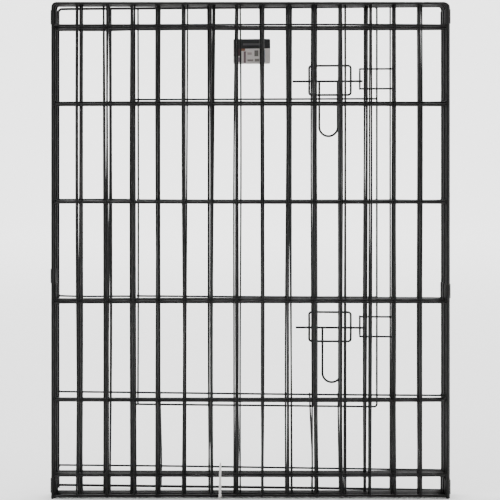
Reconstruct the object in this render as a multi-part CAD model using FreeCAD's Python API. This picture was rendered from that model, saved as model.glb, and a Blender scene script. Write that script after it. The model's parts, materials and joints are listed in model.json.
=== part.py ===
import FreeCAD, Part
import math
import os

# Folding wire exercise pen: seven plain panels, one panel with a door, and sheet-metal hinge clips.
# The pen stands folded up, as it is stored. Units are millimetres and degrees. +Z is up, X runs along
# the panels' width and Y goes through the folded stack, from panel 1 at the front to panel 8 at the back.
# The origin is on the floor, under the middle of the folded stack.

V = FreeCAD.Vector
X_DIR = V(1, 0, 0)
Z_DIR = V(0, 0, 1)

# ---- Panels ----
PANEL_COUNT = 8
PANEL_WIDTH = 610.0
PANEL_HEIGHT = 762.0
FRAME_WIRE = 4.0            # diameter of the bent side-and-top wire and of the bottom wire
RAIL_WIRE = 3.0             # diameter of the horizontal wires
UPRIGHT_WIRE = 2.6          # diameter of the vertical wires
FRAME_BEND = 6.0            # centre-line radius of the top corners
FOOT_DROP = 1.6             # how far the legs reach below the bottom wire
SPACES = 15                 # equal spaces between the vertical wires
END_RAIL_INSET = 35.0       # second rail, from the floor and from the top
SILL_RAIL_INSET = 153.0     # third rail, from the floor and from the top
WELD = 0.3                  # how deep two crossing wires are pressed into each other

# ---- Folded stack ----
PANEL_PITCH = 7.0           # leg to leg in one hinge clip
CLIP_SLANTS = (20.0, -22.0, -19.0, 20.0, 17.0, -22.0, -20.0)  # degrees each clip leans towards +X
DOOR_PANEL_AJAR = 4.2       # degrees by which the last panel stands off the stack

# ---- Hinge clips ----
CLIP_HEIGHT = 22.0
CLIP_SHEET = 0.8
CLIP_RUNNING_FIT = 0.2      # radial clearance between a clip and a leg
CLIP_END_PLAY = 0.6         # height of a clip above the rail under it
STACKED_CLIP_HINGE = 4      # on this hinge the middle clip rides above its neighbours

# ---- Door ----
HINGE_UPRIGHT = 3           # the vertical wire that the door turns on
LATCH_UPRIGHT = 12          # the vertical wire on the far side of the doorway
DOOR_WIRE = 3.0             # diameter of the door's edge wires and rails
DOOR_BEND = 4.5             # centre-line radius of the door's corners
DOOR_GAP = 0.4              # between the door's wires and the panel's, and inside the hinge eyes
DOOR_LATCH_OVERLAP = 19.6   # how far the door passes the latch upright
DOOR_HINGE_INSET = 5.4      # from the hinge upright to the door's first vertical wire
DOOR_SILL_OVERLAP = 20.0    # how far the door hangs below the sill rail
EYE_RAIL_RISE = 7.0         # the upper hinge eye above the panel's rail
EYE_TURN = 265.0            # degrees of wire in a hinge eye

# ---- Latches ----
LATCH_WIRE = 3.4            # diameter of bolts, handles and guides
GUIDE_BEND = 4.5
GUIDE_HEIGHT = 46.0
GUIDE_END_LEFT = 6.1        # guide's left side, from the upright it is welded to
GUIDE_END_RIGHT = 19.1      # guide's right side, from the upright it is welded to
GUIDE_RISE = 1.5            # guide's middle above the bolt
GUIDE_CREST = 5.0           # half the height of the guide's raised stretch over the bolt
BOLT_FIT = 0.2              # bolt to door wires
GUIDE_FIT = 0.3             # bolt to the raised sides of its guide
BOLT_TAIL = 26.2            # bolt beyond the guide's left side
BOLT_REACH = 4.7            # bolt tip beyond the keeper's loop
BOLT_END_ROUND = 0.6
HANDLE_WIDTH = 29.1
HANDLE_LENGTH = 88.0
HANDLE_BEND = 3.5
HANDLE_INSET = 15.9         # handle's left leg, from the guide's left side
HANDLE_FIT = 0.1            # handle ends to bolt, so that the handle can turn
KEEPER_WIRE = 3.0
KEEPER_HEIGHT = 31.0
KEEPER_BEND = 3.0
KEEPER_REACH = 7.1          # keeper's loop, from the latch upright into the doorway
KEEPER_TAIL = 3.1           # keeper arms beyond the last upright that they are welded to
KEEPER_RISE = 3.0           # keeper's middle above the bolt
KEEPER_FIT = 0.4            # bolt to the keeper's crossbar
UPPER_LATCH_RISE = 35.0     # upper bolt above the upper sill rail
LOWER_LATCH_DROP = 49.0     # lower bolt below the lower middle rail
LOWER_BOLT_SHIFT = 5.0      # how much further the lower bolt is pushed home

# ---- Label card and cable tie ----
CARD_WIDTH = 58.6
CARD_HEIGHT = 39.5
CARD_THICKNESS = 0.6
CARD_FROM_UPRIGHT = 3.5     # card's left edge, beyond the upright on its left
CARD_UPRIGHT = 7
CARD_BELOW_RAIL = 17.0      # card's top edge below the second rail from the top
CARD_GRIP = 0.1
TIE_UPRIGHT = 6
TIE_FROM_UPRIGHT = 14.6
TIE_WIDTH = 3.6
TIE_THICKNESS = 1.0
TIE_FIT = 0.15
TIE_HEAD = 4.6
TIE_HEAD_DEPTH = 3.4
TIE_TAIL = 48.0
TIE_TIP_WIDTH = 1.8

# ---- Derived layout ----
FRAME_R = FRAME_WIRE / 2
RAIL_R = RAIL_WIRE / 2
UPRIGHT_R = UPRIGHT_WIRE / 2
DOOR_R = DOOR_WIRE / 2
LATCH_R = LATCH_WIRE / 2
KEEPER_R = KEEPER_WIRE / 2

LEG_X = PANEL_WIDTH / 2 - FRAME_R
SPACE = 2 * LEG_X / SPACES
TOP_WIRE_Z = PANEL_HEIGHT - FRAME_R
BOTTOM_WIRE_Z = FOOT_DROP + FRAME_R
MIDDLE_BAY = (PANEL_HEIGHT - 2 * SILL_RAIL_INSET) / 3
SILL_Z = SILL_RAIL_INSET
LOWER_MIDDLE_Z = SILL_Z + MIDDLE_BAY
UPPER_MIDDLE_Z = LOWER_MIDDLE_Z + MIDDLE_BAY
UPPER_SILL_Z = PANEL_HEIGHT - SILL_RAIL_INSET
TOP_RAIL_Z = PANEL_HEIGHT - END_RAIL_INSET
FULL_RAILS = [END_RAIL_INSET, SILL_Z]
DOORWAY_RAILS = [LOWER_MIDDLE_Z, UPPER_MIDDLE_Z, UPPER_SILL_Z, TOP_RAIL_Z]

# A panel's vertical wires lie towards its outer face and its rails towards its inner face.
# "out" is the distance from the plane of the legs towards the panel's outer face.
UPRIGHT_OUT = UPRIGHT_R
RAIL_OUT = UPRIGHT_OUT - (UPRIGHT_R + RAIL_R - WELD)
DOOR_OUT = UPRIGHT_OUT + UPRIGHT_R + DOOR_GAP + DOOR_R
DOOR_UPRIGHT_OUT = DOOR_OUT + DOOR_R + UPRIGHT_R - WELD
DOOR_EDGE_OUT = DOOR_OUT + 2 * DOOR_R - WELD
DOOR_FACE_OUT = DOOR_UPRIGHT_OUT + UPRIGHT_R
EYE_RADIUS = DOOR_OUT - UPRIGHT_OUT
BOLT_OUT = DOOR_FACE_OUT + BOLT_FIT + LATCH_R
GUIDE_OUT = DOOR_FACE_OUT + LATCH_R - WELD
GUIDE_CREST_OUT = BOLT_OUT + 2 * LATCH_R + GUIDE_FIT
KEEPER_OUT = UPRIGHT_OUT - UPRIGHT_R - KEEPER_R + WELD
KEEPER_LOOP_OUT = BOLT_OUT + LATCH_R + KEEPER_FIT + KEEPER_R

CLIP_INNER_R = FRAME_R + CLIP_RUNNING_FIT
CLIP_OUTER_R = CLIP_INNER_R + CLIP_SHEET
TIE_INNER_R = FRAME_R + TIE_FIT
TIE_OUTER_R = TIE_INNER_R + TIE_THICKNESS
TIE_FRONT = TIE_INNER_R + TIE_HEAD_DEPTH

os.makedirs("parts", exist_ok=True)


# ---- Wire work ----
def upright_x(index):
    """X of a vertical wire, counted from the left leg at 0 to the right leg at SPACES."""
    return -LEG_X + index * SPACE


def straight(start, end, radius):
    """A straight round wire."""
    along = end - start
    return Part.makeCylinder(radius, along.Length, start, along)


def rounded_edges(points, bend):
    """Straight runs between the points, with a tangent arc of the given radius at each inner point."""
    edges = []
    at = points[0]
    for before, corner, after in zip(points, points[1:], points[2:]):
        back = (before - corner).normalize()
        ahead = (after - corner).normalize()
        half = back.getAngle(ahead) / 2
        reach = bend / math.tan(half)
        enter = corner + back * reach
        leave = corner + ahead * reach
        to_centre = (back + ahead).normalize()
        middle = corner + to_centre * (bend / math.sin(half) - bend)
        edges.append(Part.makeLine(at, enter))
        edges.append(Part.Arc(enter, middle, leave).toShape())
        at = leave
    edges.append(Part.makeLine(at, points[-1]))
    return edges


def swept(edges, radius):
    """A round wire swept along joined edges."""
    path = Part.Wire(edges)
    start = edges[0].valueAt(edges[0].FirstParameter)
    tangent = edges[0].tangentAt(edges[0].FirstParameter)
    section = Part.Wire([Part.makeCircle(radius, start, tangent)])
    return path.makePipeShell([section], True, False)


def eye_edge(z):
    """The open loop round the hinge upright, ending where the door's wire leaves it along +X."""
    centre = V(upright_x(HINGE_UPRIGHT), UPRIGHT_OUT, z)

    def on_eye(turn):
        angle = math.radians(90 + turn)
        return centre + V(math.cos(angle), math.sin(angle), 0) * EYE_RADIUS

    return Part.Arc(on_eye(EYE_TURN), on_eye(EYE_TURN / 2), on_eye(0)).toShape()


def faced(shape, face):
    """Turn a shape drawn with its outer face on +Y to the side that the panel faces."""
    if face > 0:
        return shape
    return shape.mirror(V(0, 0, 0), V(0, 1, 0))


# ---- One panel, drawn about its own middle with its outer face on +Y ----
def panel_frame():
    corners = [V(-LEG_X, 0, 0), V(-LEG_X, 0, TOP_WIRE_Z), V(LEG_X, 0, TOP_WIRE_Z), V(LEG_X, 0, 0)]
    return [swept(rounded_edges(corners, FRAME_BEND), FRAME_R)]


def leg_reach(offset):
    """How far a wire's end stops from a leg's axis, when it is butted on the leg off its centre line."""
    return math.sqrt(FRAME_R ** 2 - offset ** 2) - WELD


def rail(left, right, z):
    return straight(V(left, RAIL_OUT, z), V(right, RAIL_OUT, z), RAIL_R)


def bottom_wire():
    end = LEG_X - FRAME_R + WELD
    return straight(V(-end, 0, BOTTOM_WIRE_Z), V(end, 0, BOTTOM_WIRE_Z), FRAME_R)


def rail_end():
    return LEG_X - leg_reach(RAIL_OUT)


def plain_rails():
    end = rail_end()
    heights = FULL_RAILS + DOORWAY_RAILS
    return [bottom_wire()] + [rail(-end, end, z) for z in heights]


def upright(index, top):
    """A vertical wire from the bottom wire up to the given height."""
    x = upright_x(index)
    bottom = BOTTOM_WIRE_Z + leg_reach(UPRIGHT_OUT)
    return straight(V(x, UPRIGHT_OUT, bottom), V(x, UPRIGHT_OUT, top), UPRIGHT_R)


def full_upright(index):
    return upright(index, TOP_WIRE_Z - leg_reach(UPRIGHT_OUT))


def plain_uprights():
    return [full_upright(index) for index in range(1, SPACES)]


# ---- The doorway panel ----
def doorway_rails():
    end = rail_end()
    left = upright_x(HINGE_UPRIGHT) + UPRIGHT_R
    right = upright_x(LATCH_UPRIGHT) - UPRIGHT_R
    rails = [bottom_wire()] + [rail(-end, end, z) for z in FULL_RAILS]
    for z in DOORWAY_RAILS:
        rails.append(rail(-end, left, z))
        rails.append(rail(right, end, z))
    return rails


def doorway_uprights():
    wires = []
    for index in range(1, SPACES):
        in_doorway = HINGE_UPRIGHT < index < LATCH_UPRIGHT
        wires.append(upright(index, SILL_Z + RAIL_R) if in_doorway else full_upright(index))
    return wires


def keeper(bolt_z):
    """A U of wire on the panel, whose closed end stands out through the doorway round the bolt."""
    low = bolt_z + KEEPER_RISE - KEEPER_HEIGHT / 2
    high = low + KEEPER_HEIGHT
    tail = upright_x(LATCH_UPRIGHT + 1) + KEEPER_TAIL
    loop = upright_x(LATCH_UPRIGHT) - KEEPER_REACH
    points = [
        V(tail, KEEPER_OUT, low),
        V(loop, KEEPER_OUT, low),
        V(loop, KEEPER_LOOP_OUT, low),
        V(loop, KEEPER_LOOP_OUT, high),
        V(loop, KEEPER_OUT, high),
        V(tail, KEEPER_OUT, high),
    ]
    return [swept(rounded_edges(points, KEEPER_BEND), KEEPER_R)]


# ---- Door, drawn in the doorway panel's frame ----
DOOR_BOTTOM_Z = SILL_Z - DOOR_SILL_OVERLAP
DOOR_TOP_Z = PANEL_HEIGHT - DOOR_R
EYE_RAIL_Z = UPPER_SILL_Z + EYE_RAIL_RISE
DOOR_LEFT_X = upright_x(HINGE_UPRIGHT) + DOOR_HINGE_INSET
DOOR_RIGHT_X = upright_x(LATCH_UPRIGHT) + DOOR_LATCH_OVERLAP


def door_frame():
    """The door's edge wire: hinge eye, bottom, latch side and top, bent from one length."""
    start = V(upright_x(HINGE_UPRIGHT), DOOR_OUT, DOOR_BOTTOM_Z)
    points = [
        start,
        V(DOOR_RIGHT_X, DOOR_OUT, DOOR_BOTTOM_Z),
        V(DOOR_RIGHT_X, DOOR_OUT, DOOR_TOP_Z),
        V(DOOR_LEFT_X - DOOR_R, DOOR_OUT, DOOR_TOP_Z),
    ]
    return [swept([eye_edge(DOOR_BOTTOM_Z)] + rounded_edges(points, DOOR_BEND), DOOR_R)]


def door_rail_end():
    return DOOR_RIGHT_X - DOOR_R + WELD


def door_hinge_rail():
    start = V(upright_x(HINGE_UPRIGHT), DOOR_OUT, EYE_RAIL_Z)
    run = Part.makeLine(start, V(door_rail_end(), DOOR_OUT, EYE_RAIL_Z))
    return [swept([eye_edge(EYE_RAIL_Z), run], DOOR_R)]


def door_rails():
    rails = []
    for z in [LOWER_MIDDLE_Z, UPPER_MIDDLE_Z, TOP_RAIL_Z]:
        start = V(DOOR_LEFT_X - DOOR_R, DOOR_OUT, z)
        rails.append(straight(start, V(door_rail_end(), DOOR_OUT, z), DOOR_R))
    return rails


def door_uprights():
    low = DOOR_BOTTOM_Z - DOOR_R
    high = DOOR_TOP_Z + DOOR_R
    edge = straight(V(DOOR_LEFT_X, DOOR_EDGE_OUT, low), V(DOOR_LEFT_X, DOOR_EDGE_OUT, high), DOOR_R)
    wires = [edge]
    for index in range(HINGE_UPRIGHT + 1, LATCH_UPRIGHT):
        x = upright_x(index)
        start = V(x, DOOR_UPRIGHT_OUT, low)
        wires.append(straight(start, V(x, DOOR_UPRIGHT_OUT, high), UPRIGHT_R))
    return wires


# ---- Latches, drawn in the doorway panel's frame ----
GUIDE_LEFT_X = upright_x(LATCH_UPRIGHT - 2) - GUIDE_END_LEFT
GUIDE_RIGHT_X = upright_x(LATCH_UPRIGHT - 1) + GUIDE_END_RIGHT
UPPER_BOLT_Z = UPPER_SILL_Z + UPPER_LATCH_RISE
LOWER_BOLT_Z = LOWER_MIDDLE_Z - LOWER_LATCH_DROP


def latch_guide(bolt_z):
    """A rounded ring welded across two door wires, its sides raised to let the bolt through."""
    middle_x = (GUIDE_LEFT_X + GUIDE_RIGHT_X) / 2
    low = bolt_z + GUIDE_RISE - GUIDE_HEIGHT / 2
    high = low + GUIDE_HEIGHT
    points = [V(middle_x, GUIDE_OUT, low)]
    for x, ends in ((GUIDE_RIGHT_X, (low, high)), (GUIDE_LEFT_X, (high, low))):
        crest = GUIDE_CREST if ends[1] > ends[0] else -GUIDE_CREST
        points.append(V(x, GUIDE_OUT, ends[0]))
        points.append(V(x, GUIDE_CREST_OUT, bolt_z - crest))
        points.append(V(x, GUIDE_CREST_OUT, bolt_z + crest))
        points.append(V(x, GUIDE_OUT, ends[1]))
    points.append(points[0])
    return [swept(rounded_edges(points, GUIDE_BEND), LATCH_R)]


def latch_bolt(bolt_z, shift):
    left = GUIDE_LEFT_X - BOLT_TAIL
    right = upright_x(LATCH_UPRIGHT) - KEEPER_REACH + BOLT_REACH
    rod = straight(V(left + shift, BOLT_OUT, bolt_z), V(right + shift, BOLT_OUT, bolt_z), LATCH_R)
    rims = [edge for edge in rod.Edges if isinstance(edge.Curve, Part.Circle)]
    return [rod.makeFillet(BOLT_END_ROUND, rims)]


def latch_handle(bolt_z, shift):
    """A U of wire hanging from the bolt, in front of the guide."""
    left = GUIDE_LEFT_X + HANDLE_INSET + shift
    right = left + HANDLE_WIDTH
    bow = HANDLE_WIDTH / 2
    hang_out = BOLT_OUT + HANDLE_BEND
    bow_z = bolt_z - HANDLE_LENGTH + LATCH_R + bow
    corner_z = bolt_z - HANDLE_BEND
    ease = HANDLE_BEND * math.sqrt(0.5)

    def shoulder(x):
        return V(x, BOLT_OUT + ease, corner_z + ease)

    edges = [
        Part.Arc(V(left, BOLT_OUT, bolt_z), shoulder(left), V(left, hang_out, corner_z)).toShape(),
        Part.makeLine(V(left, hang_out, corner_z), V(left, hang_out, bow_z)),
        Part.Arc(
            V(left, hang_out, bow_z),
            V(left + bow, hang_out, bow_z - bow),
            V(right, hang_out, bow_z),
        ).toShape(),
        Part.makeLine(V(right, hang_out, bow_z), V(right, hang_out, corner_z)),
        Part.Arc(V(right, hang_out, corner_z), shoulder(right), V(right, BOLT_OUT, bolt_z)).toShape(),
    ]
    wire = swept(edges, LATCH_R)
    room = Part.makeCylinder(
        LATCH_R + HANDLE_FIT, 2 * HANDLE_WIDTH, V(left - bow, BOLT_OUT, bolt_z), X_DIR
    )
    solids = wire.cut(room).Solids
    return [max(solids, key=lambda solid: solid.Volume)]


# ---- Label card and cable tie ----
def label_card():
    """A flat card held against the outside of two door wires."""
    left = upright_x(CARD_UPRIGHT) - CARD_FROM_UPRIGHT
    bottom = TOP_RAIL_Z - CARD_BELOW_RAIL - CARD_HEIGHT
    corner = V(left, DOOR_FACE_OUT - CARD_GRIP, bottom)
    return [Part.makeBox(CARD_WIDTH, CARD_THICKNESS, CARD_HEIGHT, corner)]


def cable_tie():
    """A strap round the first panel's bottom wire, with its head in front and its tail standing up."""
    x = upright_x(TIE_UPRIGHT) + TIE_FROM_UPRIGHT
    low_side = V(x - TIE_WIDTH / 2, 0, BOTTOM_WIRE_Z)
    band = Part.makeCylinder(TIE_OUTER_R, TIE_WIDTH, low_side, X_DIR)
    hole = Part.makeCylinder(TIE_INNER_R, TIE_WIDTH, low_side, X_DIR)
    head_corner = V(x - TIE_HEAD / 2, -TIE_FRONT, BOTTOM_WIRE_Z)
    head = Part.makeBox(TIE_HEAD, TIE_HEAD_DEPTH, TIE_HEAD, head_corner)
    tail_low = BOTTOM_WIRE_Z + TIE_HEAD / 2
    tail_high = BOTTOM_WIRE_Z + TIE_HEAD + TIE_TAIL
    tail_y = -TIE_FRONT + (TIE_HEAD_DEPTH - TIE_THICKNESS) / 2
    outline = [
        V(x - TIE_WIDTH / 2, tail_y, tail_low),
        V(x + TIE_WIDTH / 2, tail_y, tail_low),
        V(x + TIE_TIP_WIDTH / 2, tail_y, tail_high),
        V(x - TIE_TIP_WIDTH / 2, tail_y, tail_high),
    ]
    tail = Part.Face(Part.makePolygon(outline + outline[:1])).extrude(V(0, TIE_THICKNESS, 0))
    return [band.fuse([head, tail]).cut(hole).removeSplitter().Solids[0]]


# ---- Hinge clips, drawn with the nearer leg on the Z axis and the other one a pitch along +Y ----
def hinge_clip(low):
    """Two sheet-metal loops, one round each leg, with the sheet pinched together between them."""
    far = V(0, PANEL_PITCH, low)
    near = V(0, 0, low)
    web = Part.makeBox(2 * CLIP_SHEET, PANEL_PITCH, CLIP_HEIGHT, V(-CLIP_SHEET, 0, low))
    loops = [Part.makeCylinder(CLIP_OUTER_R, CLIP_HEIGHT, centre) for centre in (near, far)]
    bores = [Part.makeCylinder(CLIP_INNER_R, CLIP_HEIGHT, centre) for centre in (near, far)]
    return loops[0].fuse([loops[1], web]).cut(bores).removeSplitter().Solids[0]


def hinge_clips(hinge):
    on_bottom_wire = BOTTOM_WIRE_Z + FRAME_R + CLIP_END_PLAY
    on_middle_rail = LOWER_MIDDLE_Z + RAIL_R + CLIP_END_PLAY
    on_top_rail = TOP_RAIL_Z + RAIL_R + CLIP_END_PLAY
    if hinge == STACKED_CLIP_HINGE:
        on_middle_rail += CLIP_HEIGHT + CLIP_END_PLAY
    return [hinge_clip(low) for low in (on_bottom_wire, on_middle_rail, on_top_rail)]


# ---- Places in the folded stack ----
def hinge_side(hinge):
    """+1 for a hinge on the right-hand edge and -1 for one on the left: they alternate."""
    return 1 if hinge % 2 else -1


def clip_step(hinge):
    """From one leg in a clip to the other: the clips of a loosely folded stack all lean a little."""
    slant = math.radians(CLIP_SLANTS[hinge - 1])
    return V(PANEL_PITCH * math.sin(slant), PANEL_PITCH * math.cos(slant), 0)


def from_first_panel(number):
    """How far a panel's leg stands from the same leg of the first panel."""
    return sum((clip_step(hinge) for hinge in range(1, number)), V(0, 0, 0))


def first_panel_place():
    """Where the first panel stands, so that the origin is under the middle of the stack."""
    right = max(from_first_panel(number).x for number in range(1, PANEL_COUNT + 1))
    left = min(from_first_panel(number).x for number in range(2, PANEL_COUNT))
    ajar = 2 * LEG_X * math.sin(math.radians(DOOR_PANEL_AJAR))
    back = from_first_panel(PANEL_COUNT).y + ajar + FRAME_R
    return V(-(right + left) / 2, (TIE_FRONT - back) / 2, 0)


def in_stack(number):
    return FreeCAD.Placement(first_panel_place() + from_first_panel(number), FreeCAD.Rotation())


def at_last_panel():
    """The doorway panel's place: turned a little open about its right leg."""
    leg = in_stack(PANEL_COUNT).multVec(V(LEG_X, 0, 0))
    turned = FreeCAD.Placement(leg, FreeCAD.Rotation(Z_DIR, -DOOR_PANEL_AJAR))
    return turned.multiply(FreeCAD.Placement(V(-LEG_X, 0, 0), FreeCAD.Rotation()))


def at_hinge(hinge):
    leg = in_stack(hinge).multVec(V(hinge_side(hinge) * LEG_X, 0, 0))
    return FreeCAD.Placement(leg, FreeCAD.Rotation(Z_DIR, -CLIP_SLANTS[hinge - 1]))


def export(name, solids, place):
    """Put one node's solids in their place and write them to a STEP file."""
    shape = solids[0] if len(solids) == 1 else Part.makeCompound(solids)
    shape = shape.copy()
    shape.Placement = place.multiply(shape.Placement)
    for solid in shape.Solids:
        if not solid.isValid():
            raise ValueError(name + " has a broken solid")
    shape.exportStep(os.path.join("parts", name + ".step"))


def export_panels():
    for number in range(1, PANEL_COUNT):
        face = 1 if number % 2 == 0 else -1
        place = in_stack(number)
        name = f"panel_{number}"
        export(name + "_frame", panel_frame(), place)
        export(name + "_uprights", [faced(wire, face) for wire in plain_uprights()], place)
        export(name + "_rails", [faced(wire, face) for wire in plain_rails()], place)
    export("cable_tie", cable_tie(), in_stack(1))


def export_door_panel():
    place = at_last_panel()
    name = f"panel_{PANEL_COUNT}"
    export(name + "_frame", panel_frame(), place)
    export(name + "_uprights", doorway_uprights(), place)
    export(name + "_rails", doorway_rails(), place)
    export("door_frame", door_frame(), place)
    export("door_hinge_rail", door_hinge_rail(), place)
    export("door_rails", door_rails(), place)
    export("door_uprights", door_uprights(), place)
    export("label_card", label_card(), place)
    latches = (("upper", UPPER_BOLT_Z, 0), ("lower", LOWER_BOLT_Z, LOWER_BOLT_SHIFT))
    for which, bolt_z, shift in latches:
        export(which + "_latch_guide", latch_guide(bolt_z), place)
        export(which + "_latch_bolt", latch_bolt(bolt_z, shift), place)
        export(which + "_latch_handle", latch_handle(bolt_z, shift), place)
        export(which + "_latch_keeper", keeper(bolt_z), place)


def export_hinges():
    for hinge in range(1, PANEL_COUNT):
        export(f"hinge_{hinge}_clips", hinge_clips(hinge), at_hinge(hinge))


export_panels()
export_door_panel()
export_hinges()
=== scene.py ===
# Looks for the folding wire exercise pen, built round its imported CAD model.
#
# Every straight wire gets a drawn wire in its place: slightly bowed, drifted by a few millimetres, with
# weld nuggets where wires cross and clipped ends. The bent wires keep their CAD shape. The clips, the card
# and the cable tie are rebuilt.
# Units are metres, in the CAD frame: +X along the panels, +Y towards the doorway panel, +Z up.

import json
import math
import random

import bmesh
import bpy
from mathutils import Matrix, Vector


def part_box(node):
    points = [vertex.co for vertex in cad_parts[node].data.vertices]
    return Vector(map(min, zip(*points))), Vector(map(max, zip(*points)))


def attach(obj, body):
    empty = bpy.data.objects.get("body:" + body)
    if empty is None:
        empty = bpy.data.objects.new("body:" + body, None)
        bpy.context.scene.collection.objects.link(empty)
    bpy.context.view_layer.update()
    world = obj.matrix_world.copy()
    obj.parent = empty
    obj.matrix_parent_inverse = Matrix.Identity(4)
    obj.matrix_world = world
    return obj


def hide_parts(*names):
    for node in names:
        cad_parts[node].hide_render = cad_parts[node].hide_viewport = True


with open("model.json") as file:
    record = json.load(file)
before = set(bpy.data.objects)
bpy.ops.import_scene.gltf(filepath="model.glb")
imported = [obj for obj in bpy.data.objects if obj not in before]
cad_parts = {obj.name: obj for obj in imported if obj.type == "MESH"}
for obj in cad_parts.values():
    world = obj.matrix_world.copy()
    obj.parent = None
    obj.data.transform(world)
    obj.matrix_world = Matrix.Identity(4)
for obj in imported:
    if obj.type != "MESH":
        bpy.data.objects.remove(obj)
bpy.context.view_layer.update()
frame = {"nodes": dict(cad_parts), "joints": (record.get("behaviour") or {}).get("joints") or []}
nodes = frame["nodes"]
MM = 0.001
PANELS = 8


# ---- Materials ----
def node_at(tree, kind, **settings):
    node = tree.nodes.new(kind)
    for key, value in settings.items():
        setattr(node, key, value)
    return node


def noise(tree, scale, detail=3.0):
    """A noise value that sticks to the object, with its scale in features per metre."""
    place = node_at(tree, "ShaderNodeTexCoord")
    texture = node_at(tree, "ShaderNodeTexNoise")
    texture.inputs["Scale"].default_value = scale
    texture.inputs["Detail"].default_value = detail
    tree.links.new(place.outputs["Object"], texture.inputs["Vector"])
    return texture.outputs["Fac"]


def ramp(tree, value, stops):
    """A value or colour read off a list of (position, grey or colour) stops."""
    node = node_at(tree, "ShaderNodeValToRGB")
    tree.links.new(value, node.inputs["Fac"])
    elements = node.color_ramp.elements
    while len(elements) < len(stops):
        elements.new(0.5)
    for element, (position, tone) in zip(elements, stops):
        element.position = position
        element.color = (*tone, 1) if isinstance(tone, tuple) else (tone, tone, tone, 1)
    return node.outputs["Color"]


def add_bump(tree, shader, height, distance, strength):
    bump = node_at(tree, "ShaderNodeBump")
    bump.inputs["Distance"].default_value = distance
    bump.inputs["Strength"].default_value = strength
    tree.links.new(height, bump.inputs["Height"])
    tree.links.new(bump.outputs["Normal"], shader.inputs["Normal"])


def new_material(name):
    material = bpy.data.materials.new(name)
    material.use_nodes = True
    return material, material.node_tree, material.node_tree.nodes["Principled BSDF"]


def coated_steel(name, dark, light, smooth, rough, grain):
    """Black coat over steel: uneven sheen, orange-peel grain, and a few rubbed flecks."""
    material, tree, shader = new_material(name)
    patches = noise(tree, 38.0)
    flecks = noise(tree, 620.0, 5.0)
    coat = ramp(tree, patches, [(0.35, dark), (0.65, light)])
    rubbed = ramp(tree, flecks, [(0.70, 0.0), (0.78, 1.0)])
    mix = node_at(tree, "ShaderNodeMix", data_type="RGBA")
    mix.inputs["B"].default_value = (0.07, 0.067, 0.064, 1)
    tree.links.new(rubbed, mix.inputs["Factor"])
    tree.links.new(coat, mix.inputs["A"])
    tree.links.new(mix.outputs["Result"], shader.inputs["Base Color"])
    tree.links.new(ramp(tree, patches, [(0.3, smooth), (0.7, rough)]), shader.inputs["Roughness"])
    shader.inputs["Specular IOR Level"].default_value = 0.16
    add_bump(tree, shader, noise(tree, grain, 2.0), 0.00012, 0.35)
    return material


def box_mask(tree, place, low, high):
    """1 inside a box across X and Z, and 0 outside."""
    inside = None
    for axis in ("X", "Z"):
        for edge, operation in ((low[axis], "GREATER_THAN"), (high[axis], "LESS_THAN")):
            test = node_at(tree, "ShaderNodeMath", operation=operation)
            tree.links.new(place.outputs[axis], test.inputs[0])
            test.inputs[1].default_value = edge
            if inside is None:
                inside = test.outputs[0]
                continue
            both = node_at(tree, "ShaderNodeMath", operation="MULTIPLY")
            tree.links.new(inside, both.inputs[0])
            tree.links.new(test.outputs[0], both.inputs[1])
            inside = both.outputs[0]
    return inside


def printed_card(left, bottom, width, height):
    """Pale card with a dark band along its top and a few blurred blocks of muted print."""
    material, tree, shader = new_material("printed_card")
    place = node_at(tree, "ShaderNodeSeparateXYZ")
    position = node_at(tree, "ShaderNodeTexCoord")
    tree.links.new(position.outputs["Object"], place.inputs["Vector"])
    fibre = noise(tree, 900.0, 4.0)
    colour = ramp(tree, fibre, [(0.3, (0.56, 0.52, 0.50)), (0.7, (0.68, 0.65, 0.63))])
    blocks = (
        ((-0.02, 0.36), (0.20, 0.66), (0.055, 0.022, 0.030)),
        ((0.20, 0.56), (0.30, 0.66), (0.22, 0.10, 0.06)),
        ((0.12, 0.12), (0.18, 0.30), (0.20, 0.16, 0.20)),
        ((0.26, 0.08), (0.32, 0.54), (0.16, 0.11, 0.12)),
        ((0.36, 0.14), (0.52, 0.22), (0.24, 0.21, 0.20)),
        ((0.36, 0.40), (0.48, 0.50), (0.36, 0.30, 0.29)),
        ((0.55, 0.34), (0.66, 0.58), (0.15, 0.14, 0.13)),
        ((0.56, 0.13), (0.68, 0.24), (0.20, 0.18, 0.17)),
        ((0.72, 0.10), (0.84, 0.60), (0.30, 0.31, 0.36)),
        ((-0.1, 0.65), (1.1, 1.2), (0.012, 0.012, 0.013)),
        ((0.24, 0.78), (0.72, 0.86), (0.075, 0.078, 0.08)),
    )
    for low, high, ink in blocks:
        mask = box_mask(
            tree,
            place,
            {"X": left + low[0] * width, "Z": bottom + low[1] * height},
            {"X": left + high[0] * width, "Z": bottom + high[1] * height},
        )
        mix = node_at(tree, "ShaderNodeMix", data_type="RGBA")
        mix.inputs["B"].default_value = (*ink, 1)
        tree.links.new(mask, mix.inputs["Factor"])
        tree.links.new(colour, mix.inputs["A"])
        colour = mix.outputs["Result"]
    tree.links.new(colour, shader.inputs["Base Color"])
    tree.links.new(ramp(tree, fibre, [(0.2, 0.45), (0.8, 0.6)]), shader.inputs["Roughness"])
    add_bump(tree, shader, fibre, 0.00006, 0.3)
    return material


def clear_nylon():
    """Milky cable-tie nylon."""
    material, tree, shader = new_material("tie_nylon")
    cloud = noise(tree, 260.0)
    tree.links.new(
        ramp(tree, cloud, [(0.3, (0.66, 0.64, 0.62)), (0.7, (0.80, 0.79, 0.77))]), shader.inputs["Base Color"]
    )
    tree.links.new(ramp(tree, cloud, [(0.3, 0.30), (0.7, 0.45)]), shader.inputs["Roughness"])
    shader.inputs["Subsurface Weight"].default_value = 0.25
    shader.inputs["Subsurface Radius"].default_value = (0.002, 0.002, 0.002)
    add_bump(tree, shader, noise(tree, 1500.0), 0.00005, 0.2)
    return material


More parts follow.
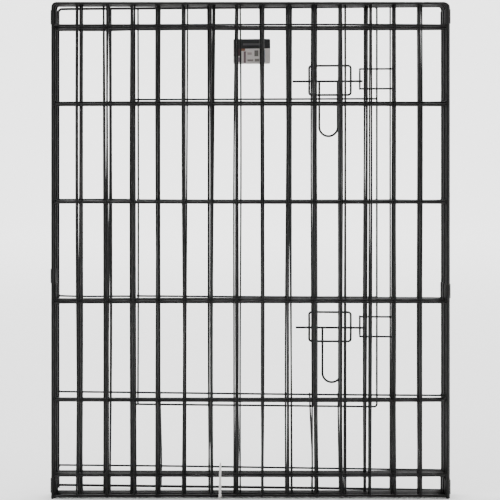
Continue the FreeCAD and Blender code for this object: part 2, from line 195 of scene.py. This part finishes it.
WIRE = coated_steel("coated_wire", 0.004, 0.010, 0.30, 0.46, 1400.0)
LATCH = coated_steel("latch_wire", 0.003, 0.008, 0.26, 0.42, 1400.0)
CLIP = coated_steel("clip_steel", 0.005, 0.012, 0.32, 0.50, 900.0)
NYLON = clear_nylon()


def coat(obj, material, slot):
    obj.data.materials.clear()
    obj.data.materials.append(material)


# ---- Mesh building ----
class Mesh:
    """Vertices and faces gathered for one piece."""

    def __init__(self):
        self.points = []
        self.faces = []

    def rings(self, rings):
        """Skin a list of closed rings, and cap both ends."""
        first = len(self.points)
        sides = len(rings[0])
        for ring in rings:
            self.points.extend(ring)
        for i in range(len(rings) - 1):
            for j in range(sides):
                a = first + i * sides + j
                b = first + i * sides + (j + 1) % sides
                self.faces.append((a, b, b + sides, a + sides))
        self.faces.append(tuple(first + j for j in reversed(range(sides))))
        last = first + (len(rings) - 1) * sides
        self.faces.append(tuple(last + j for j in range(sides)))

    def finish(self, name, material, slot, body, replaced=(), smooth=True):
        data = bpy.data.meshes.new(name)
        data.from_pydata([tuple(p) for p in self.points], [], self.faces)
        bm = bmesh.new()
        bm.from_mesh(data)
        bmesh.ops.recalc_face_normals(bm, faces=bm.faces)
        bm.to_mesh(data)
        bm.free()
        obj = bpy.data.objects.new(name, data)
        bpy.context.scene.collection.objects.link(obj)
        if smooth:
            data.polygons.foreach_set("use_smooth", [True] * len(data.polygons))
            data.set_sharp_from_angle(angle=math.radians(50))
        coat(obj, material, slot)
        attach(obj, body)
        if replaced:
            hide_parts(*replaced)
        return obj


SAME_POINT = 1e-6           # vertices closer than this are one
SORT_DIGITS = 5             # wires whose heights agree to this many digits count as level


def loose_parts(node):
    """Groups of vertex positions, one for each separate solid of a CAD node, in the same order each run."""
    bm = bmesh.new()
    bm.from_mesh(nodes[node].data)
    bmesh.ops.remove_doubles(bm, verts=bm.verts, dist=SAME_POINT)
    seen = set()
    groups = []
    for seed in bm.verts:
        if seed in seen:
            continue
        seen.add(seed)
        group = []
        stack = [seed]
        while stack:
            vertex = stack.pop()
            group.append(vertex.co.copy())
            for edge in vertex.link_edges:
                other = edge.other_vert(vertex)
                if other not in seen:
                    seen.add(other)
                    stack.append(other)
        groups.append(group)
    bm.free()
    return groups


def mean(points):
    return sum(points, Vector()) / len(points)


def straight_wires(node):
    """Start, end and radius of each straight wire of a CAD node, from its two end circles."""
    found = []
    for group in loose_parts(node):
        spans = [max(p[i] for p in group) - min(p[i] for p in group) for i in range(3)]
        axis = spans.index(max(spans))
        half = (max(p[axis] for p in group) + min(p[axis] for p in group)) / 2
        low = [p for p in group if p[axis] < half]
        high = [p for p in group if p[axis] >= half]
        start, end = mean(low), mean(high)
        along = (end - start).normalized()
        radius = max((p - start - along * (p - start).dot(along)).length for p in low)
        found.append((start, end, radius))
    return sorted(found, key=lambda wire: (round(wire[0].z, SORT_DIGITS), wire[0].x))


WIRE_SIDES = 12
NUGGET_REACH = 2.2 * MM     # half the length of wire that a weld swells
NUGGET_SWELL = 0.13         # how much thicker the coat lies at a weld
NUGGET_STATIONS = (-1.6, -0.9, -0.4, 0.0, 0.4, 0.9, 1.6)    # rings round a weld, in nugget reaches
COARSE_STEP = 30 * MM
FINE_STEP = 0.5 * MM        # rings closer together than this are merged
END_ROUND = 0.3             # length of a clipped end's rounding, in wire radii
END_TAPER = 0.72            # radius of the end face over the wire's radius


def stations(length, crossings):
    """Distances along a wire at which it gets a ring: evenly, and closer together round each weld."""
    marks = {0.0, length}
    count = max(2, round(length / COARSE_STEP))
    marks.update(length * i / count for i in range(1, count))
    for c in crossings:
        for share in NUGGET_STATIONS:
            mark = c + share * NUGGET_REACH
            if 0 < mark < length:
                marks.add(mark)
    ordered = sorted(marks)
    kept = [ordered[0]]
    for mark in ordered[1:-1]:
        if mark - kept[-1] > FINE_STEP and length - mark > FINE_STEP:
            kept.append(mark)
    return kept + [length]


def drawn_wire(mesh, start, end, radius, crossings, sway, sway_axis):
    """One wire from start to end, swayed sideways by a function of 0..1, with swollen welds."""
    length = (end - start).length
    along = (end - start) / length
    side = along.cross(sway_axis).normalized()
    marks = stations(length, crossings)
    rings = []
    for mark in marks:
        centre = start + along * mark + sway_axis * sway(mark / length)
        swell = sum(math.exp(-(((mark - c) / NUGGET_REACH) ** 2)) for c in crossings)
        r = radius * (1 + NUGGET_SWELL * min(swell, 1.0))
        rings.append((centre, r))
    end_round = END_ROUND * radius
    first, last = rings[0], rings[-1]
    rings[0] = (first[0] + along * end_round, first[1])
    rings[-1] = (last[0] - along * end_round, last[1])
    rings.insert(0, (first[0], END_TAPER * first[1]))
    rings.append((last[0], END_TAPER * last[1]))
    corners = [math.tau * j / WIRE_SIDES for j in range(WIRE_SIDES)]
    mesh.rings(
        [[c + (sway_axis * math.cos(a) + side * math.sin(a)) * r for a in corners] for c, r in rings]
    )


def blob(mesh, centre, axes, sizes, rng):
    """A lumpy weld bead: an ellipsoid whose skin is a little uneven."""
    rows, around = 5, 8
    unevenness = 0.09
    rings = []
    for i in range(rows + 1):
        polar = math.pi * (i + 0.35) / (rows + 0.7)
        ring = []
        for j in range(around):
            turn = math.tau * j / around
            lump = 1 + rng.uniform(-unevenness, unevenness)
            offset = axes[0] * (sizes[0] * math.sin(polar) * math.cos(turn) * lump)
            offset += axes[1] * (sizes[1] * math.cos(polar))
            offset += axes[2] * (sizes[2] * math.sin(polar) * math.sin(turn) * lump)
            ring.append(centre + offset)
        rings.append(ring)
    mesh.rings(rings)


UP = Vector((0, 0, 1))
CLIP_LOWS = [min(p.z for p in group) for group in loose_parts("hinge_1_clips")]


def swaying(rng, lean, bow):
    """A gentle sideways drift along a wire: a lean, a bow and a second, slighter wave."""
    shift = rng.uniform(-lean, lean)
    tilt = rng.uniform(-lean, lean)
    belly = rng.uniform(-bow, bow)
    wave = rng.uniform(-bow, bow) * 0.4

    def sway(t):
        return shift + tilt * (t - 0.5) + belly * math.sin(math.pi * t) + wave * math.sin(math.tau * t)

    return sway


def steady(t):
    return 0.0


CLIP_NEAR = 4 * MM          # a rail this little below a clip may only drift down, by BELOW_CLIP at least
BELOW_CLIP = -0.3 * MM
LOW_RAIL = 60 * MM          # rails below this height stay near their place, clear of the floor
LOW_RAIL_DRIFT = (-0.3 * MM, 0.9 * MM)
RAIL_LEAN = 0.3 * MM
POST_NEAR = 4 * MM          # an upright this near to a fixed place stays straight
CROSSING_SLACK = 3 * MM     # how far short of a rail an upright may end and still be welded to it
RAIL_END_SLACK = 2 * MM
WELD_BEAD = (1.9 * MM, 0.95 * MM, 1.9 * MM)
END_BEAD = (1.9 * MM, 1.5 * MM, 1.5 * MM)
END_BEAD_IN = 0.9 * MM
# How far a panel's wires wander from their places; the doorway panel's rails and the door keep closer.
LOOSE = {"lean": 3.4 * MM, "bow": 1.8 * MM, "rail_bow": 1.0 * MM, "rail_drift": (-4.8 * MM, -0.4 * MM)}
DOORWAY = {**LOOSE, "rail_drift": (-0.6 * MM, 1.4 * MM)}
DOOR = {"lean": 0.4 * MM, "bow": 0.6 * MM, "rail_bow": 0.4 * MM, "rail_drift": (0.0, 0.0)}


def rebuild_grid(upright_node, rail_node, body, rng, fixed_x, lean, bow, rail_bow, rail_drift):
    """Redraw a panel's or the door's straight wires, with a weld where each upright crosses a rail."""
    uprights = straight_wires(upright_node)
    rails = straight_wires(rail_node)
    panel_along = (rails[0][1] - rails[0][0]).normalized()
    across = panel_along.cross(UP)
    rail_sways = []
    for left, _, _ in rails:
        lowest, highest = rail_drift
        if any(0 < low - left.z < CLIP_NEAR for low in CLIP_LOWS):
            highest = min(highest, BELOW_CLIP)
        if left.z < LOW_RAIL:
            lowest, highest = LOW_RAIL_DRIFT
        drop = rng.uniform(lowest, highest)
        drift = swaying(rng, RAIL_LEAN, rail_bow)
        rail_sways.append(lambda t, drop=drop, drift=drift: drop + drift(t))
    upright_sways = []
    for start, _, _ in uprights:
        held = any(abs(start.x - x) < POST_NEAR for x in fixed_x)
        upright_sways.append(steady if held else swaying(rng, lean, bow))

    welds = []
    on_rail = [[] for _ in rails]
    on_upright = [[] for _ in uprights]
    for u, (foot, top, upright_r) in enumerate(uprights):
        for r, (left, right, rail_r) in enumerate(rails):
            if not foot.z - CROSSING_SLACK < left.z < top.z + CROSSING_SLACK:
                continue
            reach = (foot - left).dot(panel_along)
            length = (right - left).length
            if not -RAIL_END_SLACK < reach < length + RAIL_END_SLACK:
                continue
            t = min(max((left.z - foot.z) / (top.z - foot.z), 0), 1)
            shift = upright_sways[u](t)
            s = min(max((reach + shift) / length, 0), 1)
            z = left.z + rail_sways[r](s)
            on_rail[r].append(reach + shift)
            on_upright[u].append(z - foot.z)
            rail_point = left + panel_along * (reach + shift)
            rail_point.z = z
            upright_point = foot + panel_along * shift
            upright_point.z = z
            gap = upright_point - rail_point
            welds.append(rail_point + gap * (rail_r / (rail_r + upright_r)))

    mesh = Mesh()
    for (foot, top, radius), sway, crossings in zip(uprights, upright_sways, on_upright):
        drawn_wire(mesh, foot, top, radius, crossings, sway, panel_along)
    for weld in welds:
        blob(mesh, weld, (panel_along, across, UP), WELD_BEAD, rng)
    mesh.finish(upright_node + "_drawn", WIRE, "coated_wire", body, [upright_node])

    mesh = Mesh()
    for (left, right, radius), sway, crossings in zip(rails, rail_sways, on_rail):
        drawn_wire(mesh, left, right, radius, crossings, sway, UP)
        for end, inward in ((left, panel_along), (right, -panel_along)):
            blob(mesh, end + inward * END_BEAD_IN, (UP, inward, across), END_BEAD, rng)
    mesh.finish(rail_node + "_drawn", WIRE, "coated_wire", body, [rail_node])


def build_panels():
    rng = random.Random(24)
    for number in range(1, PANELS + 1):
        name = f"panel_{number}"
        coat(nodes[name + "_frame"], WIRE, "coated_wire")
        fixed, looseness = (DOORWAY_WIRES, DOORWAY) if number == PANELS else ((), LOOSE)
        rebuild_grid(name + "_uprights", name + "_rails", name, rng, fixed, **looseness)


def build_door():
    rng = random.Random(7)
    for node in ("door_frame", "door_hinge_rail"):
        coat(nodes[node], WIRE, "coated_wire")
    rebuild_grid("door_uprights", "door_rails", "door", rng, (), **DOOR)
    for which in ("upper", "lower"):
        for piece in ("guide", "bolt", "handle", "keeper"):
            coat(nodes[f"{which}_latch_{piece}"], LATCH, "latch_wire")


KEEPER_TO_FAR_WIRE = 8.5 * MM
KEEPER_TO_NEAR_WIRE = 3.1 * MM


def doorway_wires():
    """X of the doorway panel's wires that the door turns on or the keepers are welded to."""
    low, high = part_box("upper_latch_keeper")
    hinge = next(j for j in frame["joints"] if j["name"] == "door_swing")
    return (hinge["pos_m"][0], low.x + KEEPER_TO_FAR_WIRE, high.x - KEEPER_TO_NEAR_WIRE)


DOORWAY_WIRES = doorway_wires()


# ---- Hinge clips ----
CLIP_SHEET = 0.8 * MM
CLIP_AROUND = 14
CLIP_WAIST = 0.75 * MM      # half the gap left between the loops' lips
CLIP_RIM = 0.16 * MM


def clip_outline(near, far, radius, waist):
    """Points round the sheet's middle line: a loop about each leg, pinched in between them."""
    along = (far - near).normalized()
    side = Vector((along.y, -along.x, 0))
    points = []
    open_angle = math.asin(min(0.99, (waist + radius * 0.35) / radius))
    for centre, ahead, across in ((near, -along, side), (far, along, -side)):
        for i in range(CLIP_AROUND + 1):
            angle = (math.pi - open_angle) * (2 * i / CLIP_AROUND - 1)
            points.append(centre + ahead * (radius * math.cos(angle)) - across * (radius * math.sin(angle)))
    return points


def offset_loop(points, amount):
    moved = []
    count = len(points)
    for i, point in enumerate(points):
        tangent = (points[(i + 1) % count] - points[i - 1]).normalized()
        moved.append(point + Vector((tangent.y, -tangent.x, 0)) * amount)
    return moved


def hinge_clip(mesh, corners, near, far):
    """A strip of sheet bent round both legs, with soft rims and a shallow pressed waist."""
    base = min(p.z for p in corners)
    height = max(p.z for p in corners) - base
    along = (far - near).normalized()
    across = Vector((along.y, -along.x, 0))
    radius = max((p - near).dot(across) for p in corners) - CLIP_SHEET / 2
    outline = clip_outline(near, far, radius, CLIP_WAIST)
    inside = offset_loop(outline, -CLIP_SHEET / 2)
    outside = offset_loop(outline, CLIP_SHEET / 2)
    heights = (0, CLIP_RIM, height * 0.33, height * 0.5, height * 0.67, height - CLIP_RIM, height)
    outer_spread = (0.35, 1.0, 1.0, 0.86, 1.0, 1.0, 0.35)
    inner_spread = (0.35, 1.0, 1.0, 1.0, 1.0, 1.0, 0.35)
    count = len(outline)
    starts = []
    for skin, spreads in ((outside, outer_spread), (inside, inner_spread)):
        starts.append(len(mesh.points))
        for z, spread in zip(heights, spreads):
            for i in range(count):
                middle = (inside[i] + outside[i]) / 2
                half = (skin[i] - middle) * spread
                mesh.points.append(Vector((middle.x + half.x, middle.y + half.y, base + z)))
    first, inner_first = starts
    for start in starts:
        for k in range(len(heights) - 1):
            for i in range(count):
                a = start + k * count + i
                b = start + k * count + (i + 1) % count
                mesh.faces.append((a, b, b + count, a + count))
    top = (len(heights) - 1) * count
    for i in range(count):
        j = (i + 1) % count
        mesh.faces.append((first + i, first + j, inner_first + j, inner_first + i))
        mesh.faces.append((first + top + i, first + top + j, inner_first + top + j, inner_first + top + i))


def build_clips():
    for hinge in range(1, PANELS):
        node = f"hinge_{hinge}_clips"
        turn = next(j for j in frame["joints"] if j["name"] == f"hinge_{hinge}_clip_turn")
        fold = next(j for j in frame["joints"] if j["name"] == f"panel_{hinge + 1}_fold")
        near = Vector((turn["pos_m"][0], turn["pos_m"][1], 0))
        far = Vector((fold["pos_m"][0], fold["pos_m"][1], 0))
        mesh = Mesh()
        for group in loose_parts(node):
            hinge_clip(mesh, group, near, far)
        mesh.finish(f"hinge_{hinge}_clips_formed", CLIP, "clip_steel", f"hinge_{hinge}", [node])


# ---- Label card ----
def build_card():
    """A thin card with rounded corners, slightly dished between the two wires that hold it."""
    group = loose_parts("label_card")[0]
    left = min(group, key=lambda p: p.x - p.y)
    right = max(group, key=lambda p: p.x - p.y)
    low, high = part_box("label_card")
    along = Vector((right.x - left.x, right.y - left.y, 0))
    width = along.length
    along.normalize()
    out = Vector((-along.y, along.x, 0))
    height = high.z - low.z
    past_corner, lift = 1.2 * MM, 1.5 * MM
    origin = Vector((left.x, left.y, low.z)) - along * past_corner + UP * lift
    corner = 1.6 * MM
    dish_across, dish_up = 0.35 * MM, 0.15 * MM
    columns, rows = 24, 16
    thickness = 0.45 * MM
    mesh = Mesh()
    grid = {}
    for face in (0, 1):
        for i in range(columns + 1):
            for j in range(rows + 1):
                s, t = i / columns * width, j / rows * height
                ds = max(corner - s, s - (width - corner), 0)
                dt = max(corner - t, t - (height - corner), 0)
                reach = math.hypot(ds, dt)
                if reach > corner:
                    s += (corner / reach - 1) * ds * (1 if s > width / 2 else -1)
                    t += (corner / reach - 1) * dt * (1 if t > height / 2 else -1)
                dish = dish_across * math.sin(math.pi * s / width) + dish_up * math.sin(math.pi * t / height)
                point = origin + along * s + UP * t + out * (dish + face * thickness)
                grid[face, i, j] = len(mesh.points)
                mesh.points.append(point)
    for i in range(columns):
        for j in range(rows):
            for face in (0, 1):
                a = [grid[face, i, j], grid[face, i + 1, j], grid[face, i + 1, j + 1], grid[face, i, j + 1]]
                mesh.faces.append(tuple(a))
    rim = [(i, 0) for i in range(columns)] + [(columns, j) for j in range(rows)]
    rim += [(i, rows) for i in range(columns, 0, -1)] + [(0, j) for j in range(rows, 0, -1)]
    for (i, j), (k, m) in zip(rim, rim[1:] + rim[:1]):
        mesh.faces.append((grid[0, i, j], grid[0, k, m], grid[1, k, m], grid[1, i, j]))
    card = printed_card(low.x, low.z, high.x - low.x, height)
    mesh.finish("label_card_printed", card, "card", "door", ["label_card"])


# ---- Cable tie ----
TIE_FIT = 0.15 * MM
TIE_STRAP = 1.0 * MM
TIE_HALF = 1.8 * MM         # half the strap's width
TIE_HEAD_SECTIONS = ((0, 0.55), (0.4, 0.9), (1.0, 1.0), (3.6, 1.0), (4.2, 0.9), (4.6, 0.6))  # mm up, size
TIE_HEAD_HALF = (2.3 * MM, 1.7 * MM)


def build_tie():
    """Strap, ratchet head and ridged tail of the cable tie."""
    low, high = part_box("cable_tie")
    x = (low.x + high.x) / 2
    wire_low, wire_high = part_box("panel_1_frame")
    wire_y = (wire_low.y + wire_high.y) / 2
    inner = (wire_high.y - wire_low.y) / 2 + TIE_FIT
    outer = inner + TIE_STRAP
    edge = outer - 0.1 * MM
    wire_z = low.z + outer
    mesh = Mesh()
    around = 28
    loop = []
    for i in range(around):
        a = math.tau * i / around
        ring = []
        for r, s in ((inner, -1), (edge, -1), (outer, -0.85), (outer, 0.85), (edge, 1), (inner, 1)):
            ring.append(Vector((x + s * TIE_HALF, wire_y + r * math.cos(a), wire_z + r * math.sin(a))))
        loop.append(ring)
    first = len(mesh.points)
    sides = len(loop[0])
    for ring in loop:
        mesh.points.extend(ring)
    for i in range(around):
        here, beyond = first + i * sides, first + ((i + 1) % around) * sides
        for j in range(sides):
            k = (j + 1) % sides
            mesh.faces.append((here + j, here + k, beyond + k, beyond + j))

    front = low.y
    head_high = wire_z + TIE_HEAD_SECTIONS[-1][0] * MM
    squareness = 0.35
    rings = []
    for z, grow in TIE_HEAD_SECTIONS:
        ring = []
        for k in range(16):
            a = math.tau * k / 16
            c, s = math.cos(a), math.sin(a)
            px = math.copysign(abs(c) ** squareness, c) * TIE_HEAD_HALF[0] * grow
            py = math.copysign(abs(s) ** squareness, s) * TIE_HEAD_HALF[1] * grow
            ring.append(Vector((x + px, front + TIE_HEAD_HALF[1] + py, wire_z + z * MM)))
        rings.append(ring)
    mesh.rings(rings)

    tail_low, tail_high = head_high - 1.2 * MM, high.z
    ridges = 64
    ridge = 0.16 * MM
    tip = 0.84              # share of the tail at which it starts to narrow to its tip
    tail_y = front + 1.2 * MM
    rings = []
    for i in range(ridges + 1):
        t = i / ridges
        z = tail_low + (tail_high - tail_low) * t
        tooth = ridge if i % 2 and t < 0.86 else 0.0
        w = TIE_HALF * (1 - 0.18 * t) if t < tip else TIE_HALF * (0.85 - 1.9 * (t - tip))
        middle = x + 0.8 * MM * t * t
        thick = TIE_STRAP * (1 - 0.25 * t)
        ridged = ((-w, tooth), (-0.8 * w, tooth / 2), (0.8 * w, tooth / 2), (w, tooth))
        section = ridged + ((w, thick), (-w, thick))
        rings.append([Vector((middle + across, tail_y + deep, z)) for across, deep in section])
    mesh.rings(rings)
    mesh.finish("cable_tie_moulded", NYLON, "tie_nylon", "panel_1", ["cable_tie"])


# ---- Floor, light and camera ----
def build_stage():
    """A pale floor that curves up into a pale wall, far enough off to leave room for the opened pen."""
    half, depth, wall, bend = 30.0, 20.0, 25.0, 7.5
    profile = [(-half, 0.0), (depth - bend, 0.0)]
    profile += [
        (depth - bend + bend * math.sin(math.radians(a)), bend - bend * math.cos(math.radians(a)))
        for a in range(6, 91, 6)
    ]
    profile.append((depth, wall))
    data = bpy.data.meshes.new("studio_sweep")
    points = [(x, y, z) for y, z in profile for x in (-half, half)]
    faces = [(2 * i, 2 * i + 1, 2 * i + 3, 2 * i + 2) for i in range(len(profile) - 1)]
    data.from_pydata(points, [], faces)
    sweep = bpy.data.objects.new("studio_sweep", data)
    bpy.context.scene.collection.objects.link(sweep)
    data.polygons.foreach_set("use_smooth", [True] * len(data.polygons))
    material, tree, shader = new_material("studio_paper")
    paper = noise(tree, 30.0)
    tree.links.new(ramp(tree, paper, [(0.0, 0.93), (1.0, 0.96)]), shader.inputs["Base Color"])
    shader.inputs["Roughness"].default_value = 0.9
    data.materials.append(material)


def soft_light(name, place, target, size, power):
    data = bpy.data.lights.new(name, "AREA")
    data.shape = "RECTANGLE"
    data.size, data.size_y = size
    data.energy = power
    light = bpy.data.objects.new(name, data)
    light.location = place
    light.rotation_euler = (Vector(target) - Vector(place)).to_track_quat("-Z", "Y").to_euler()
    bpy.context.scene.collection.objects.link(light)


def build_lights():
    middle = (0, 0, 0.4)
    soft_light("key", (-2.4, -2.0, 2.4), middle, (1.2, 1.6), 60)
    soft_light("fill", (2.6, -1.6, 1.6), middle, (1.2, 1.6), 35)
    soft_light("top", (0, 0.2, 3.4), (0, 0.2, 0), (4.0, 3.0), 60)
    soft_light("wall_wash", (0, 4.5, 16.0), (0, 20.0, 4.5), (25.0, 7.5), 12500)
    world = bpy.data.worlds.new("studio")
    world.use_nodes = True
    background = world.node_tree.nodes["Background"]
    background.inputs["Color"].default_value = (1, 1, 1, 1)
    background.inputs["Strength"].default_value = 0.3
    bpy.context.scene.world = world


def build_camera():
    """Level camera in front of the first panel, shifted so that the pen fills the height."""
    first_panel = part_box("panel_1_frame")
    distance = 2.5
    eye_height = 0.498
    focal = 117.4
    shift = -0.152
    data = bpy.data.cameras.new("camera")
    data.sensor_width = 36.0
    data.lens = focal
    data.shift_y = shift
    data.clip_end = 200
    camera = bpy.data.objects.new("camera", data)
    camera.location = (0.0, (first_panel[0].y + first_panel[1].y) / 2 - distance, eye_height)
    camera.rotation_euler = (math.pi / 2, 0, 0)
    bpy.context.scene.collection.objects.link(camera)
    bpy.context.scene.camera = camera


build_panels()
build_door()
build_clips()
build_card()
build_tie()
build_stage()
build_lights()
build_camera()
